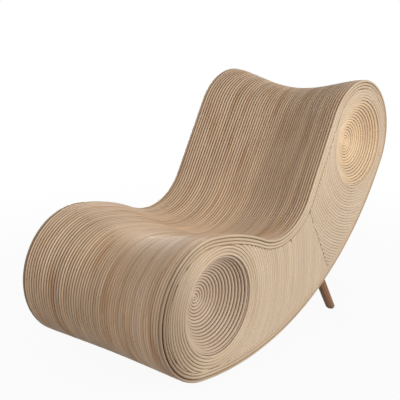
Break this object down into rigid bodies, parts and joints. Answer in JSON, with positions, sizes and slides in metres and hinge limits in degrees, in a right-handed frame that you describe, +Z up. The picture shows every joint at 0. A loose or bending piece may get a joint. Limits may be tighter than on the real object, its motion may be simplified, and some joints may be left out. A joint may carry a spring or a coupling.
{
  "type": "rattan lounge armchair",
  "caption": "Low lounge armchair with an S-shaped body wrapped in round rattan canes, coiled dishes on its sides and splayed wooden rear legs.",
  "frame": {"origin": "on the floor, under the middle of the bounding box", "axes": "+Z up, the sitter faces -Y, +X is the sitter's left"},
  "size_m": [0.6, 1.3139, 0.8419],
  "materials": {
    "wrap_rattan": "peeled rattan cane, clear satin",
    "rim_rattan": "peeled rattan cane, clear satin",
    "face_rattan": "peeled rattan cane, clear satin",
    "dish_rattan": "peeled rattan cane, clear satin",
    "plywood": "raw plywood",
    "frame_wood": "planed softwood",
    "leg_wood": "stained turned wood, satin",
    "steel": "zinc plated",
    "glide": "moulded plastic"
  },
  "bodies": {
    "root": {"back_deck": "plywood", "back_rail": "frame_wood", "belly_deck": "plywood", "belly_rail": "frame_wood", "facing_canes_back_left": "face_rattan", "facing_canes_back_right": "face_rattan", "facing_canes_front_left": "face_rattan", "facing_canes_front_right": "face_rattan", "foot_glide_left": "glide", "foot_glide_right": "glide", "front_dish_coil_left": "dish_rattan", "front_dish_coil_right": "dish_rattan", "front_dish_cup_left": "plywood", "front_dish_cup_right": "plywood", "front_glide_1": "glide", "front_glide_2": "glide", "front_glide_3": "glide", "front_glide_4": "glide", "front_roll_deck": "plywood", "inner_rib_1": "plywood", "inner_rib_2": "plywood", "inner_rib_3": "plywood", "inner_rib_4": "plywood", "leg_block_left": "frame_wood", "leg_block_right": "frame_wood", "leg_bolt_left": "steel", "leg_bolt_right": "steel", "leg_left": "leg_wood", "leg_right": "leg_wood", "leg_washer_left": "steel", "leg_washer_right": "steel", "rail_screws_left": "steel", "rail_screws_right": "steel", "rear_rail": "frame_wood", "rim_canes_left": "rim_rattan", "rim_canes_right": "rim_rattan", "seat_deck": "plywood", "seat_rail": "frame_wood", "side_panel_left": "plywood", "side_panel_right": "plywood", "top_dish_coil_left": "dish_rattan", "top_dish_coil_right": "dish_rattan", "top_dish_cup_left": "plywood", "top_dish_cup_right": "plywood", "top_roll_deck": "plywood", "wrap_canes_bay_1": "wrap_rattan", "wrap_canes_bay_2": "wrap_rattan", "wrap_canes_bay_3": "wrap_rattan", "wrap_canes_bay_4": "wrap_rattan", "wrap_canes_bay_5": "wrap_rattan"}
  },
  "joints": []
}
